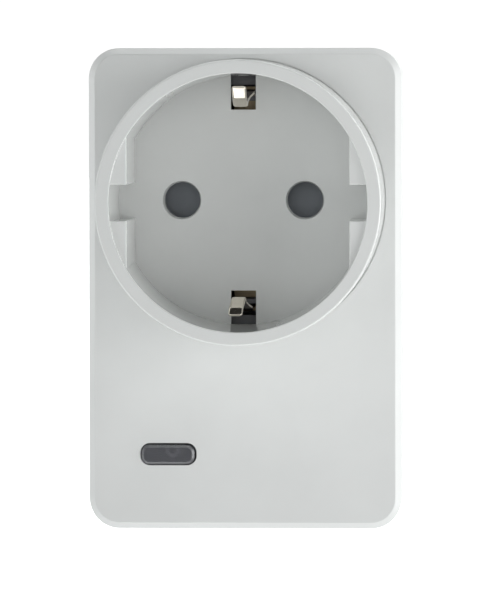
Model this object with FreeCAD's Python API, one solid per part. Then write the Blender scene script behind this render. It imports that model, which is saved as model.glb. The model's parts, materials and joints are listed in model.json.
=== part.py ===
"""Plug-in power meter: a mains plug on its back, a metered and switched socket on its front.

Millimetres. The origin is the centre of the plug's engagement face, on the common axis of
plug and socket. +Y runs along the pins into the wall, -Y faces the user, +Z is up.
"""
import FreeCAD
import Part
import math
import os

V = FreeCAD.Vector

# ---- plug and socket interface ----
PIN_X = 9.5                 # each pin's distance from the axis
PIN_R = 2.4
PIN_LENGTH = 19.0
BOSS_HEIGHT = 17.0
BOSS_R = 18.4
KEY_FLAT = 16.5             # plug boss is cut flat at this distance, left and right
KEY_RIDGE_HALF = 2.5        # half width of the ridge left standing on each flat
WELL_DEPTH = 17.5
WELL_RIM_R = 19.68
WELL_FLOOR_R = 19.22
KEY_RIB = 16.95             # rib tops start at this distance, left and right
KEY_RIB_DRAFT = 0.25        # each rib is this much nearer the axis at the floor
RIB_EDGE_ROUND = 0.15
KEY_NOTCH_HALF = 2.75
EARTH_SLOT_HALF = 1.925
RIB_DROP = 0.6              # rib tops sit this far below the collar's rim
PIN_HOLE_MOUTH_R = 2.97
PIN_HOLE_R = 2.75
PIN_HOLE_MOUTH = 1.3        # depth of the tapered mouth
PIN_SHANK_R = 2.0           # pin inside the plug, riveted behind it
PIN_SEAT_R = 2.0            # the pin's foot tapers to this where it seats in a recess of the plug's face
PIN_RECESS_R = 2.5
PIN_RECESS = 0.4

# ---- housing ----
BODY_WIDTH = 48.5
BODY_TOP = 23.45
BODY_BOTTOM = -51.1
BODY_DEPTH = 28.0
CORNER_R = 4.7
EDGE_BEVEL = 0.95
BEVEL_BLEND = 0.25
REAR_ROUND = 1.2
SIDE_DRAFT = 0.4            # each side wall leans in by this from front to rear
WALL = 1.5
PLATE = 2.0                 # front and rear plate thickness
COLLAR_HEIGHT = 21.4
COLLAR_R = 21.76
COVER_BORE_R = 21.775       # the collar fits closely in the cover, whose edge is broken by a small bevel
COVER_BORE_BEVEL = 0.15
SKIRT_R = 21.5
SKIRT_BORE = 20.0
FLOOR_PLATE = 4.2
SLOT_LIP = 1.0              # the floor is this thin round the earth slots
RIM_ROUND = 0.28
RIM_INNER_ROUND = 0.15
SEAM = 0.3                  # visible groove between the front and rear covers

# ---- button ----
BUTTON_X = -12.0
BUTTON_Z = -39.6
BUTTON_LENGTH = 8.34
BUTTON_WIDTH = 3.06
BUTTON_CORNER = 1.3
BUTTON_BEVEL = 0.42
BUTTON_GAP = 0.2
BUTTON_SLACK_X = 0.1        # the button rests this far off the middle of its slot
BUTTON_SLACK_Z = 0.08
BUTTON_PROUD = 0.3
BUTTON_STEM_X = -14.2

# ---- fastening ----
SCREW_X = 18.9
SCREW_TOP_Z = 18.2
SCREW_LOW_Z = -45.8
TOWER_R = 2.8
TUBE_R = 3.3
SCREW_R = 1.1
PILOT_R = 1.18
SCREW_HOLE_R = 1.4
HEAD_R = 2.0
HEAD_HEIGHT = 1.6
WASHER_ROOM = 0.3           # a screw well is this much wider than the head's radius
EAR = 2.0                   # thickness of the socket insert's fixing ears
PAST = 1.0                  # cutting tools run this far past the face they cut

# ---- stations along Y, worked out from the sizes above ----
REAR_Y = -BOSS_HEIGHT
FRONT_Y = REAR_Y - BODY_DEPTH
RIM_Y = FRONT_Y - COLLAR_HEIGHT
FLOOR_Y = RIM_Y + WELL_DEPTH
FLOOR_BACK_Y = FLOOR_Y + FLOOR_PLATE
PLATE_BACK_Y = FRONT_Y + PLATE
REAR_INNER_Y = REAR_Y - PLATE
SPLIT_Y = REAR_Y - 7.0
EAR_FRONT_Y = PLATE_BACK_Y + 5.0
EAR_BACK_Y = EAR_FRONT_Y + EAR
SCREW_SEAT_Y = EAR_BACK_Y + 1.6
BLOCK_FRONT_Y = FLOOR_BACK_Y + 2.8
BLOCK_BACK_Y = FLOOR_Y + PIN_LENGTH + 1.5
BOARD_Y = -35.2             # rear face of the main board
BOARD_THICK = 1.6
SOLDER = 0.02               # film of solder under a part on a board
BOARD_FRONT_Y = BOARD_Y - BOARD_THICK


# ---- small tools ----
def box(x0, x1, y0, y1, z0, z1):
    return Part.makeBox(x1 - x0, y1 - y0, z1 - z0, V(x0, y0, z0))


def rod(r, y0, y1, x=0.0, z=0.0):
    """A round bar along Y."""
    return Part.makeCylinder(r, y1 - y0, V(x, y0, z), V(0, 1, 0))


def bar(r, start, end):
    """A round bar between two points."""
    run = V(*end) - V(*start)
    return Part.makeCylinder(r, run.Length, V(*start), run)


def join(shapes):
    shapes = list(shapes)
    whole = shapes[0].fuse(shapes[1:]) if len(shapes) > 1 else shapes[0]
    return whole.removeSplitter()


def group(shapes):
    """Identical separate solids that share one node."""
    return Part.makeCompound(list(shapes))


def mirrored(shape, normal):
    return shape.mirror(V(0, 0, 0), normal)


def upright(shape):
    """The same shape moved from above the axis to below it."""
    return mirrored(shape, V(0, 0, 1))


def polygon(points):
    corners = [V(*p) for p in points]
    return Part.Face(Part.makePolygon(corners + corners[:1]))


def rounded_rectangle(x0, x1, z0, z1, r, y):
    """A closed outline in the plane at y, with its corners as quarter circles."""
    k = r * (1 - math.sqrt(0.5))
    edges = [
        Part.LineSegment(V(x0 + r, y, z0), V(x1 - r, y, z0)),
        Part.Arc(V(x1 - r, y, z0), V(x1 - k, y, z0 + k), V(x1, y, z0 + r)),
        Part.LineSegment(V(x1, y, z0 + r), V(x1, y, z1 - r)),
        Part.Arc(V(x1, y, z1 - r), V(x1 - k, y, z1 - k), V(x1 - r, y, z1)),
        Part.LineSegment(V(x1 - r, y, z1), V(x0 + r, y, z1)),
        Part.Arc(V(x0 + r, y, z1), V(x0 + k, y, z1 - k), V(x0, y, z1 - r)),
        Part.LineSegment(V(x0, y, z1 - r), V(x0, y, z0 + r)),
        Part.Arc(V(x0, y, z0 + r), V(x0 + k, y, z0 + k), V(x0 + r, y, z0)),
    ]
    return Part.Wire([e.toShape() for e in edges])


def rounded_bar(x, z, length, width, corner, y0, y1):
    """A bar along Y with a rounded rectangle as its section, long way along X."""
    outline = rounded_rectangle(x - length / 2, x + length / 2, z - width / 2, z + width / 2, corner, y0)
    return Part.Face(outline).extrude(V(0, y1 - y0, 0))


def lean(y):
    """How far the side walls have leaned in at y."""
    return SIDE_DRAFT * max(0.0, y - FRONT_Y - EDGE_BEVEL) / (BODY_DEPTH - EDGE_BEVEL)


def body_outline(inset, y):
    half = BODY_WIDTH / 2 - inset
    return rounded_rectangle(-half, half, BODY_BOTTOM + inset, BODY_TOP - inset, CORNER_R - inset, y)


def body_loft(stations):
    """The solid through body outlines, each given as (inset, y)."""
    return Part.makeLoft([body_outline(inset, y) for inset, y in stations], True, True)


def round_edges(shape, radius, wanted):
    """Rounds the edges that wanted() picks."""
    return shape.makeFillet(radius, [e for e in shape.Edges if wanted(e)])


def lies_at_y(edge, y):
    return all(abs(v.Point.y - y) < 1e-4 for v in edge.Vertexes) and abs(edge.CenterOfMass.y - y) < 1e-4


def bent_strip(points, bend, thickness, x0, x1):
    """Sheet metal bent along (y, z) points, with bend as the radius at each inner point."""
    edges = []
    start = V(0, *points[0])
    for before, corner, after in zip(points, points[1:], points[2:]):
        c = V(0, *corner)
        back = (V(0, *before) - c).normalize()
        ahead = (V(0, *after) - c).normalize()
        half_angle = back.getAngle(ahead) / 2
        reach = bend / math.tan(half_angle)
        middle = (back + ahead).normalize()
        touch_in = c + back * reach
        touch_out = c + ahead * reach
        nearest = c + middle * (bend / math.sin(half_angle) - bend)
        edges.append(Part.LineSegment(start, touch_in).toShape())
        edges.append(Part.Arc(touch_in, nearest, touch_out).toShape())
        start = touch_out
    edges.append(Part.LineSegment(start, V(0, *points[-1])).toShape())
    face = Part.Wire(edges).makeOffset2D(thickness, 0, True, True)
    strip = face.extrude(V(x1 - x0, 0, 0))
    strip.translate(V(x0, 0, 0))
    return strip


SCREW_SPOTS = [(side * SCREW_X, z) for side in (-1, 1) for z in (SCREW_TOP_Z, SCREW_LOW_Z)]
SCREW_LOW_SPOTS = [(side * SCREW_X, SCREW_LOW_Z) for side in (-1, 1)]
EAR_SPOTS = [(side * SCREW_X, up * SCREW_TOP_Z) for side in (-1, 1) for up in (-1, 1)]
CARRIER_R = 16.5            # radius of the contact carrier's screw circle
CARRIER_SPOTS = [(CARRIER_R * math.cos(math.radians(a)), CARRIER_R * math.sin(math.radians(a)))
                 for a in (45, 135, 225, 315)]

# ---- housing details ----
ROOT = 0.5                  # ribs, towers and posts sink this far into the wall they stand on
TONGUE_ROOM = (0.75, 1.4)   # step inside the front cover's edge: wall left outside it, depth
TONGUE = (0.82, 1.3)        # lip of the rear cover that enters the step: inset, height
FACE_SKIN = 1.2             # wall left in front of the screw pilots
BUTTON_GUIDE = dict(length=13.4, width=8.2, corner=4.0)
BUTTON_GUIDE_BORE = dict(length=11.4, width=6.2, corner=3.0)
BUTTON_GUIDE_HEIGHT = 2.8
BOSS_SLIP = 0.06            # radial room round the plug body in the rear cover
PLATE_HALF = 14.0           # rating plate's recess: half width, low and high edge, corner, depth
PLATE_Z = (-42.0, -24.0)
PLATE_CORNER = 1.5
PLATE_RECESS = 0.25
PLATE_GAP = 0.1


def front_cover():
    end = SPLIT_Y - SEAM / 2
    past = end + PAST
    shell = body_loft([(EDGE_BEVEL, FRONT_Y), (0, FRONT_Y + EDGE_BEVEL), (lean(end), end)])
    shell = round_edges(shell, BEVEL_BLEND, lambda e: lies_at_y(e, FRONT_Y))
    hollow = body_loft([(WALL, PLATE_BACK_Y), (WALL + lean(past), past)])
    inset, depth = TONGUE_ROOM
    tongue_room = body_loft([(inset + lean(end - depth), end - depth), (inset + lean(past), past)])
    shell = shell.cut([hollow, tongue_room])
    towers = []
    for spots, foot in ((EAR_SPOTS, EAR_FRONT_Y), (SCREW_LOW_SPOTS, EAR_BACK_Y)):
        towers += [rod(TOWER_R, PLATE_BACK_Y - ROOT, foot, x, z) for x, z in spots]
    guide = rounded_bar(BUTTON_X, BUTTON_Z, **BUTTON_GUIDE,
                        y0=PLATE_BACK_Y - ROOT, y1=PLATE_BACK_Y + BUTTON_GUIDE_HEIGHT)
    guide_bore = rounded_bar(BUTTON_X, BUTTON_Z, **BUTTON_GUIDE_BORE,
                             y0=PLATE_BACK_Y, y1=PLATE_BACK_Y + BUTTON_GUIDE_HEIGHT + PAST)
    slot = rounded_bar(BUTTON_X + BUTTON_SLACK_X, BUTTON_Z + BUTTON_SLACK_Z, BUTTON_LENGTH + 2 * BUTTON_GAP,
                       BUTTON_WIDTH + 2 * BUTTON_GAP, BUTTON_CORNER + BUTTON_GAP,
                       FRONT_Y - PAST, PLATE_BACK_Y + PAST)
    shell = join([shell, guide] + towers)
    pilots = [rod(PILOT_R, FRONT_Y + FACE_SKIN, EAR_BACK_Y + PAST, x, z)
              for x, z in SCREW_LOW_SPOTS + EAR_SPOTS]
    bevel = Part.makeCone(COVER_BORE_R + COVER_BORE_BEVEL, COVER_BORE_R, COVER_BORE_BEVEL,
                          V(0, FRONT_Y, 0), V(0, 1, 0))
    collar_bore = rod(COVER_BORE_R, FRONT_Y, PLATE_BACK_Y + PAST)
    return shell.cut([guide_bore, slot, bevel, collar_bore] + pilots)


def rear_cover():
    start = SPLIT_Y + SEAM / 2
    inset, height = TONGUE
    shell = body_loft([(lean(start), start), (SIDE_DRAFT, REAR_Y)])
    shell = round_edges(shell, REAR_ROUND, lambda e: lies_at_y(e, REAR_Y))
    hollow = body_loft([(WALL + lean(start - PAST), start - PAST), (WALL + SIDE_DRAFT, REAR_INNER_Y)])
    lip_outer = body_loft([(inset + lean(start - height), start - height),
                           (inset + lean(start + PAST), start + PAST)])
    lip_inner = body_loft([(WALL + lean(start - 2 * PAST), start - 2 * PAST),
                           (WALL + lean(start + 2 * PAST), start + 2 * PAST)])
    tubes = [rod(TUBE_R, EAR_BACK_Y, REAR_INNER_Y + ROOT, x, z) for x, z in SCREW_SPOTS]
    shell = join([shell.cut(hollow), lip_outer.cut(lip_inner)] + tubes)
    wells = [rod(HEAD_R + WASHER_ROOM, SCREW_SEAT_Y, REAR_Y + PAST, x, z) for x, z in SCREW_SPOTS]
    holes = [rod(SCREW_HOLE_R, EAR_BACK_Y - PAST, SCREW_SEAT_Y + PAST, x, z) for x, z in SCREW_SPOTS]
    boss_hole = rod(BOSS_R + BOSS_SLIP, REAR_INNER_Y - PAST, REAR_Y + PAST)
    recess = rounded_rectangle(-PLATE_HALF, PLATE_HALF, *PLATE_Z, PLATE_CORNER, REAR_Y - PLATE_RECESS)
    return shell.cut(wells + holes + [boss_hole, Part.Face(recess).extrude(V(0, PAST, 0))])


def fixing_ear(x, z):
    """An ear that reaches from the skirt out to a screw tower."""
    reach = math.hypot(x, z)
    arm = box(SKIRT_BORE, reach, EAR_FRONT_Y, EAR_BACK_Y, -TUBE_R, TUBE_R)
    arm.rotate(V(0, 0, 0), V(0, -1, 0), math.degrees(math.atan2(z, x)))
    return join([arm, rod(TUBE_R, EAR_FRONT_Y, EAR_BACK_Y, x, z)])


RIB_LENGTH = 12.0           # beyond the well's wall, so the wall itself ends each rib
RIB_ROOT_R = WELL_RIM_R + 0.7
CARRIER_BOSS_R = 2.0
CARRIER_PILOT_R = 0.95
EARTH_SLOT_INNER = 13.95    # each earth slot runs from here out to the well's wall
EARTH_SLOT_STOP = 0.02      # wall left between the slot and the well's round wall
RELIEF_HALF = 3.2           # pocket behind each earth slot, where the floor is thin
RELIEF_INNER = 12.6


def key_ribs():
    """The two halves of the right-hand key rib, above and below its notch."""
    top_y = RIM_Y + RIB_DROP
    foot_y = FLOOR_Y + ROOT
    side_wall = polygon([
        (KEY_RIB, top_y, KEY_NOTCH_HALF), (COLLAR_R, top_y, KEY_NOTCH_HALF),
        (COLLAR_R, foot_y, KEY_NOTCH_HALF), (KEY_RIB - KEY_RIB_DRAFT, foot_y, KEY_NOTCH_HALF),
    ])
    rib = side_wall.extrude(V(0, 0, RIB_LENGTH - KEY_NOTCH_HALF))
    rib = round_edges(rib, RIB_EDGE_ROUND, lambda e: lies_at_y(e, top_y) and e.BoundBox.ZMin < RIB_LENGTH - 0.1
                      and e.BoundBox.XMin < COLLAR_R - 0.1)
    rib = rib.common(rod(RIB_ROOT_R, RIM_Y, FLOOR_Y + PAST))
    return [rib, upright(rib)]


def socket_insert():
    profile = polygon([
        (0, FLOOR_Y, 0), (WELL_FLOOR_R, FLOOR_Y, 0), (WELL_RIM_R, RIM_Y, 0), (COLLAR_R, RIM_Y, 0),
        (COLLAR_R, PLATE_BACK_Y + 0.2, 0), (SKIRT_R, PLATE_BACK_Y + 0.2, 0), (SKIRT_R, EAR_BACK_Y, 0),
        (SKIRT_BORE, EAR_BACK_Y, 0), (SKIRT_BORE, FLOOR_BACK_Y, 0), (0, FLOOR_BACK_Y, 0),
    ])
    insert = profile.revolve(V(0, 0, 0), V(0, 1, 0), 360)
    insert = round_edges(insert, RIM_ROUND,
                         lambda e: lies_at_y(e, RIM_Y) and abs(e.Curve.Radius - COLLAR_R) < 0.01)
    insert = round_edges(insert, RIM_INNER_ROUND,
                         lambda e: lies_at_y(e, RIM_Y) and abs(e.Curve.Radius - WELL_RIM_R) < 0.01)
    ribs = [mirrored(rib, V(1, 0, 0)) if side < 0 else rib for side in (-1, 1) for rib in key_ribs()]
    bosses = [rod(CARRIER_BOSS_R, FLOOR_BACK_Y - ROOT, BLOCK_FRONT_Y, x, z) for x, z in CARRIER_SPOTS]
    insert = join([insert] + ribs + bosses + [fixing_ear(x, z) for x, z in EAR_SPOTS])
    holes = []
    for side in (-1, 1):
        holes.append(rod(PIN_HOLE_R, FLOOR_Y - PAST, FLOOR_BACK_Y + PAST, side * PIN_X))
        holes.append(Part.makeCone(PIN_HOLE_MOUTH_R, PIN_HOLE_R, PIN_HOLE_MOUTH,
                                   V(side * PIN_X, FLOOR_Y, 0), V(0, 1, 0)))
    slot = box(-EARTH_SLOT_HALF, EARTH_SLOT_HALF, FLOOR_Y - 0.01, FLOOR_BACK_Y + PAST,
               EARTH_SLOT_INNER, WELL_FLOOR_R - EARTH_SLOT_STOP)
    relief = box(-RELIEF_HALF, RELIEF_HALF, FLOOR_Y + SLOT_LIP, FLOOR_BACK_Y + PAST, RELIEF_INNER, SKIRT_BORE)
    holes += [relief, upright(relief)]
    pilots = [rod(CARRIER_PILOT_R, FLOOR_Y + FACE_SKIN, BLOCK_FRONT_Y + PAST, x, z) for x, z in CARRIER_SPOTS]
    ear_holes = [rod(SCREW_HOLE_R, EAR_FRONT_Y - PAST, EAR_BACK_Y + PAST, x, z) for x, z in EAR_SPOTS]
    return insert.cut(holes + [slot, upright(slot)] + pilots + ear_holes)


# ---- plug on the back ----
BOSS_EDGE_ROUND = 0.8
KEY_STOP = 0.6              # the key flats stop this far behind the rear cover's face
KEY_RIDGE_TRIM = 0.3        # each ridge's top is this far inside the boss's round wall
FLANGE = 1.5                # the flange behind the rear cover: thickness, and reach past the boss
FLANGE_REACH = 1.6
BOSS_HOLLOW_R = 13.6
BOSS_FACE = 3.0             # wall behind the plug's face
POST_R = 4.2                # post that carries each pin inside the hollow
SHANK_SLIP = 0.02
EARTH_RECESS_HALF = 3.2
EARTH_RECESS_INNER = 15.6
EARTH_RECESS_STOP = 1.2     # wall left between the earth recess and the plug's face
PIN_TIP_ROUND = 2.0
RIVET_REACH = 1.3           # the rivet head's radius beyond the shank's
RIVET_HEIGHT = 0.85
STRIP = 0.4                 # plug earth contact: metal thickness, half width, bend, radius of its outer run
STRIP_HALF = 2.7
STRIP_BEND = 0.45
STRIP_R = 16.6


def plug_body():
    """The hollow boss that carries the pins, with key flats, ridges and earth recesses."""
    boss = round_edges(rod(BOSS_R, REAR_INNER_Y, 0), BOSS_EDGE_ROUND, lambda e: lies_at_y(e, 0))
    flats = []
    for side in (-1, 1):
        beyond = side * (BOSS_R + PAST)
        spans = [(side * KEY_FLAT, up * KEY_RIDGE_HALF, up * BOSS_R) for up in (-1, 1)]
        spans.append((side * (BOSS_R - KEY_RIDGE_TRIM), -BOSS_R, BOSS_R))
        for x, za, zb in spans:
            flats.append(box(min(x, beyond), max(x, beyond), REAR_Y + KEY_STOP, PAST, min(za, zb), max(za, zb)))
    boss = boss.cut(flats)
    flange_y = REAR_INNER_Y - FLANGE
    flange = rod(BOSS_R + FLANGE_REACH, flange_y, REAR_INNER_Y)
    hollow = rod(BOSS_HOLLOW_R, flange_y - ROOT, -BOSS_FACE)
    posts = [rod(POST_R, flange_y, ROOT - BOSS_FACE, side * PIN_X) for side in (-1, 1)]
    body = join([join([boss, flange]).cut(hollow)] + posts)
    cuts = []
    for side in (-1, 1):
        cuts.append(rod(PIN_SHANK_R + SHANK_SLIP, flange_y - PAST, PAST, side * PIN_X))
        cuts.append(rod(PIN_RECESS_R, -PIN_RECESS, PAST, side * PIN_X))
    earth_recess = box(-EARTH_RECESS_HALF, EARTH_RECESS_HALF, flange_y - PAST, -EARTH_RECESS_STOP,
                       EARTH_RECESS_INNER, BOSS_R + FLANGE_REACH + PAST)
    return body.cut(cuts + [earth_recess, upright(earth_recess)])


def plug_pin(side):
    """A solid pin with a rounded tip and a riveted head inside the housing."""
    pin = rod(PIN_R, 0, PIN_LENGTH, side * PIN_X)
    pin = round_edges(pin, PIN_TIP_ROUND, lambda e: lies_at_y(e, PIN_LENGTH))
    foot = Part.makeCone(PIN_SEAT_R, PIN_R, PIN_RECESS, V(side * PIN_X, -PIN_RECESS, 0), V(0, 1, 0))
    head_y = REAR_INNER_Y - FLANGE - 0.05
    shank = rod(PIN_SHANK_R, head_y - RIVET_HEIGHT / 2, ROOT, side * PIN_X)
    rivet_head = rod(PIN_SHANK_R + RIVET_REACH, head_y - RIVET_HEIGHT, head_y, side * PIN_X)
    return join([pin, foot, shank, rivet_head])


def plug_earth_contact(up):
    """A side contact along the boss, folded inward behind it to meet the earth frame."""
    front_y = -EARTH_RECESS_STOP - 0.7
    fold_y = REAR_INNER_Y - 2.6
    path = [(front_y, STRIP_R - 0.85), (front_y, STRIP_R), (fold_y, STRIP_R), (fold_y, PIN_X - 0.5)]
    strip = bent_strip(path, STRIP_BEND, STRIP, -STRIP_HALF, STRIP_HALF)
    return strip if up > 0 else upright(strip)


# ---- socket contacts and shutter ----
BLOCK_R = 19.4
CHAMBER_X = (5.2, 13.1)     # each pin's chamber, from the axis outward
CHAMBER_HALF = 3.4
CLIP_SLOT_HALF = 2.2        # slot for each earth clip, open at the block's edge
CLIP_SLOT_INNER = 13.3
GUARD_HALF = 3.0            # raised guard behind each earth slot, in the floor's relief
GUARD_R = (15.3, 19.2)
GUARD_FRONT_Y = FLOOR_Y + SLOT_LIP + 0.25
GUARD_SLIT_R = (16.0, 17.8)       # room for the clip and its travel
EARTH_BAR_Y = (-41.0, -39.2)        # bar across each slot behind the clip, which hides the earth frame
EARTH_BAR_INNER = 17.45
CARRIER_SCREW = dict(head_r=1.8, head_height=1.3, shank_r=0.9, length=6.2)
CARRIER_SEAT = 3.2          # the screw heads sit this far behind the block's front
PIVOT_R = 1.9
PIVOT_SLIP = 0.05
POCKET_R = (2.4, 4.4)       # ring-shaped pocket for the shutter's spring
POCKET_DEPTH = 2.2
SHUTTER_FRONT_Y = FLOOR_BACK_Y + 0.3
SHUTTER_THICK = 2.0
SHUTTER_HUB_R = 4.2
SHUTTER_PADDLE_R = 3.9
SHUTTER_ARM_HALF = 2.4
SHUTTER_EDGE_ROUND = 0.25
SPRING_R = (3.15, 3.4)
SPRING_Y = (0.25, 1.9)      # front and back edge of the band, behind the block's front
SPRING_GAP_HALF = 0.9
SPRING_END = 0.25           # thickness of the turned-out ends


def contact_carrier():
    """The moulded block behind the socket's floor, with a chamber for each contact and the shutter's pivot."""
    front, back = BLOCK_FRONT_Y - PAST, BLOCK_BACK_Y + PAST
    near, far = CHAMBER_X
    chamber = box(near, far, front, back, -CHAMBER_HALF, CHAMBER_HALF)
    earth_slot = box(-CLIP_SLOT_HALF, CLIP_SLOT_HALF, front, back, CLIP_SLOT_INNER, BLOCK_R + PAST)
    pocket_inner, pocket_outer = POCKET_R
    pocket = rod(pocket_outer, BLOCK_FRONT_Y, BLOCK_FRONT_Y + POCKET_DEPTH).cut(rod(pocket_inner, front, back))
    cuts = [chamber, mirrored(chamber, V(1, 0, 0)), earth_slot, upright(earth_slot), pocket]
    for x, z in CARRIER_SPOTS:
        cuts.append(rod(CARRIER_SCREW["shank_r"] + 0.2, front, BLOCK_BACK_Y, x, z))
        cuts.append(rod(CARRIER_SCREW["head_r"] + WASHER_ROOM, BLOCK_FRONT_Y + CARRIER_SEAT, back, x, z))
    block = rod(BLOCK_R, BLOCK_FRONT_Y + 0.05, BLOCK_BACK_Y)
    pivot = rod(PIVOT_R, FLOOR_BACK_Y + 0.15, BLOCK_FRONT_Y + PAST)
    guard = box(-GUARD_HALF, GUARD_HALF, GUARD_FRONT_Y, BLOCK_FRONT_Y + 2 * PAST, *GUARD_R)
    guard = guard.cut(box(-CLIP_SLOT_HALF, CLIP_SLOT_HALF, GUARD_FRONT_Y - PAST, back, *GUARD_SLIT_R))
    bar = box(-CLIP_SLOT_HALF - PAST, CLIP_SLOT_HALF + PAST, *EARTH_BAR_Y, EARTH_BAR_INNER, GUARD_R[1])
    return join([block.cut(cuts), pivot, guard, upright(guard), bar, upright(bar)])


def shutter():
    """A turning plate with a paddle behind each pin hole and a ramp that a pin pushes on."""
    y0, y1 = SHUTTER_FRONT_Y, SHUTTER_FRONT_Y + SHUTTER_THICK
    parts = [rod(SHUTTER_HUB_R, y0, y1), box(-PIN_X, PIN_X, y0, y1, -SHUTTER_ARM_HALF, SHUTTER_ARM_HALF)]
    parts += [rod(SHUTTER_PADDLE_R, y0, y1, side * PIN_X) for side in (-1, 1)]
    plate = round_edges(join(parts), SHUTTER_EDGE_ROUND, lambda e: lies_at_y(e, y0))
    return plate.cut(rod(PIVOT_R + PIVOT_SLIP, y0 - PAST, y1 + PAST))


def shutter_spring():
    """A split band spring round the pivot, its two ends turned out, in its pocket in the carrier."""
    y0, y1 = (BLOCK_FRONT_Y + y for y in SPRING_Y)
    inner, outer = SPRING_R
    band = rod(outer, y0, y1).cut(rod(inner, y0 - PAST, y1 + PAST))
    band = band.cut(box(0, outer + PAST, y0 - PAST, y1 + PAST, -SPRING_GAP_HALF, SPRING_GAP_HALF))
    ends = [box(inner + 0.05, outer + 0.7, y0, y1, z, z + SPRING_END)
            for z in (-SPRING_GAP_HALF - SPRING_END, SPRING_GAP_HALF)]
    return join([band] + ends)


LEAF = 0.7                  # thickness of both leaves of a pin contact
LEAF_OUTER_X = 11.95        # inner faces of the fixed leaf and of the sprung leaf's far side
LEAF_INNER_X = 6.7
LEAD_IN = 0.45
CONTACT_HALF = 2.7
LEAF_FRONT_Y = BLOCK_FRONT_Y + 0.6
CONTACT_BASE_Y = FLOOR_Y + PIN_LENGTH + 0.5


def socket_contact(side):
    """The fixed outer leaf of a pin contact, with its base and a tab to the busbar."""
    outer_x = LEAF_OUTER_X + LEAF
    back_y = CONTACT_BASE_Y + LEAF
    leaf = box(LEAF_OUTER_X, outer_x, LEAF_FRONT_Y, back_y, -CONTACT_HALF, CONTACT_HALF)
    base = box(LEAF_INNER_X - 0.1, outer_x, CONTACT_BASE_Y, back_y, -CONTACT_HALF, CONTACT_HALF)
    tab = box(PIN_X - 1, PIN_X + 1, CONTACT_BASE_Y, BLOCK_BACK_Y + 0.2, -2, 2)
    contact = join([leaf, base, tab])
    return contact if side > 0 else mirrored(contact, V(1, 0, 0))


def contact_leaf(side):
    """The sprung inner leaf, with a lead-in bevel where the pin enters."""
    front_y = LEAF_FRONT_Y + 0.2
    leaf = box(LEAF_INNER_X, LEAF_INNER_X + LEAF, front_y, CONTACT_BASE_Y - 0.2, -CONTACT_HALF, CONTACT_HALF)
    leaf = leaf.makeChamfer(LEAD_IN, [e for e in leaf.Edges if lies_at_y(e, front_y)
                                      and e.BoundBox.XMin > LEAF_INNER_X + LEAF - 0.01])
    return leaf if side > 0 else mirrored(leaf, V(1, 0, 0))


CLIP_PIVOT_Y = -38.2        # the strip flexes at its foot, here
CLIP_THICK = 0.45
CLIP_BEND = 0.45
CLIP_ROOT_R = 16.6
CLIP_FOOT_R = 15.6
CLIP_HALF = 1.11            # half width of the finger in front of the floor
CLIP_NECK_HALF = 1.35       # half width where it passes the floor
CLIP_FOOT_HALF = 1.78
CLIP_APEX_Y = FLOOR_Y - 8.2
# The two fingers were bent by hand: each one's apex radius, then its bend and tip as
# (height above the floor, radius), how far its tip stands to the left, its tip's corner
# radius and how far the whole finger stands to the left in its slot.
CLIP_TOP = dict(apex_r=14.45, bend=(10.4, 15.75), tip=(11.75, 17.5),
                tip_left=0.11, tip_round=0.35, stands_left=0.0)
CLIP_LOW = dict(apex_r=14.6, bend=(10.6, 16.2), tip=(11.6, 17.3),
                tip_left=0.42, tip_round=0.55, stands_left=0.3)


def finger_plan(tip_y, tip_left, tip_round):
    """The finger's outline seen from above, with a rounded tip that stands a little to one side."""
    left, right = -tip_left - CLIP_HALF, CLIP_HALF - tip_left
    shoulder_y = tip_y + tip_round
    corner = (1 - math.sqrt(0.5)) * tip_round
    side = [
        (CLIP_HALF, CLIP_APEX_Y), (CLIP_HALF, FLOOR_Y - 5.5), (CLIP_NECK_HALF, FLOOR_Y - 3.2),
        (CLIP_FOOT_HALF, FLOOR_Y - 1.2), (CLIP_FOOT_HALF, CLIP_PIVOT_Y + 1),
    ]
    other_side = [
        (-CLIP_NECK_HALF, CLIP_PIVOT_Y + 1), (-CLIP_NECK_HALF, FLOOR_Y - 1.2), (-CLIP_HALF, FLOOR_Y - 3.2),
        (-CLIP_HALF, CLIP_APEX_Y),
    ]
    points = [(right, shoulder_y)] + side + other_side + [(left, shoulder_y)]
    outline = [Part.LineSegment(V(*a, 0), V(*b, 0)) for a, b in zip(points, points[1:])]
    outline += [
        Part.Arc(V(left, shoulder_y, 0), V(left + corner, tip_y + corner, 0), V(left + tip_round, tip_y, 0)),
        Part.LineSegment(V(left + tip_round, tip_y, 0), V(right - tip_round, tip_y, 0)),
        Part.Arc(V(right - tip_round, tip_y, 0), V(right - corner, tip_y + corner, 0), V(right, shoulder_y, 0)),
    ]
    return Part.Face(Part.Wire([edge.toShape() for edge in outline])).extrude(V(0, 0, BODY_TOP))


def earth_clip(apex_r, bend, tip, tip_left, tip_round, stands_left):
    """A spring finger above the axis: foot, upright, contact bend, and a flared lead-in with a rounded tip."""
    path = [
        (CLIP_PIVOT_Y, CLIP_FOOT_R), (CLIP_PIVOT_Y, CLIP_ROOT_R), (FLOOR_Y + 0.6, CLIP_ROOT_R),
        (CLIP_APEX_Y, apex_r), (FLOOR_Y - bend[0], bend[1]), (FLOOR_Y - tip[0], tip[1]),
    ]
    strip = bent_strip(path, CLIP_BEND, CLIP_THICK, -CLIP_SLOT_HALF, CLIP_SLOT_HALF)
    finger = strip.common(finger_plan(strip.BoundBox.YMin - 0.01, tip_left, tip_round))
    finger.translate(V(-stands_left, 0, 0))
    return finger


FRAME_THICK = 0.8
FRAME_HALF = 2.5
FRAME_ARM_HALF = 2.0
FRAME_REACH = 18.2
FRAME_Y = BLOCK_BACK_Y + 0.2
SHELF_Y = (0.6, 1.3)        # shelf under each clip's foot, behind the clip's pivot
SHELF_INNER = 13.6
STEM_Z = (9.2, 10.0)


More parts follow.
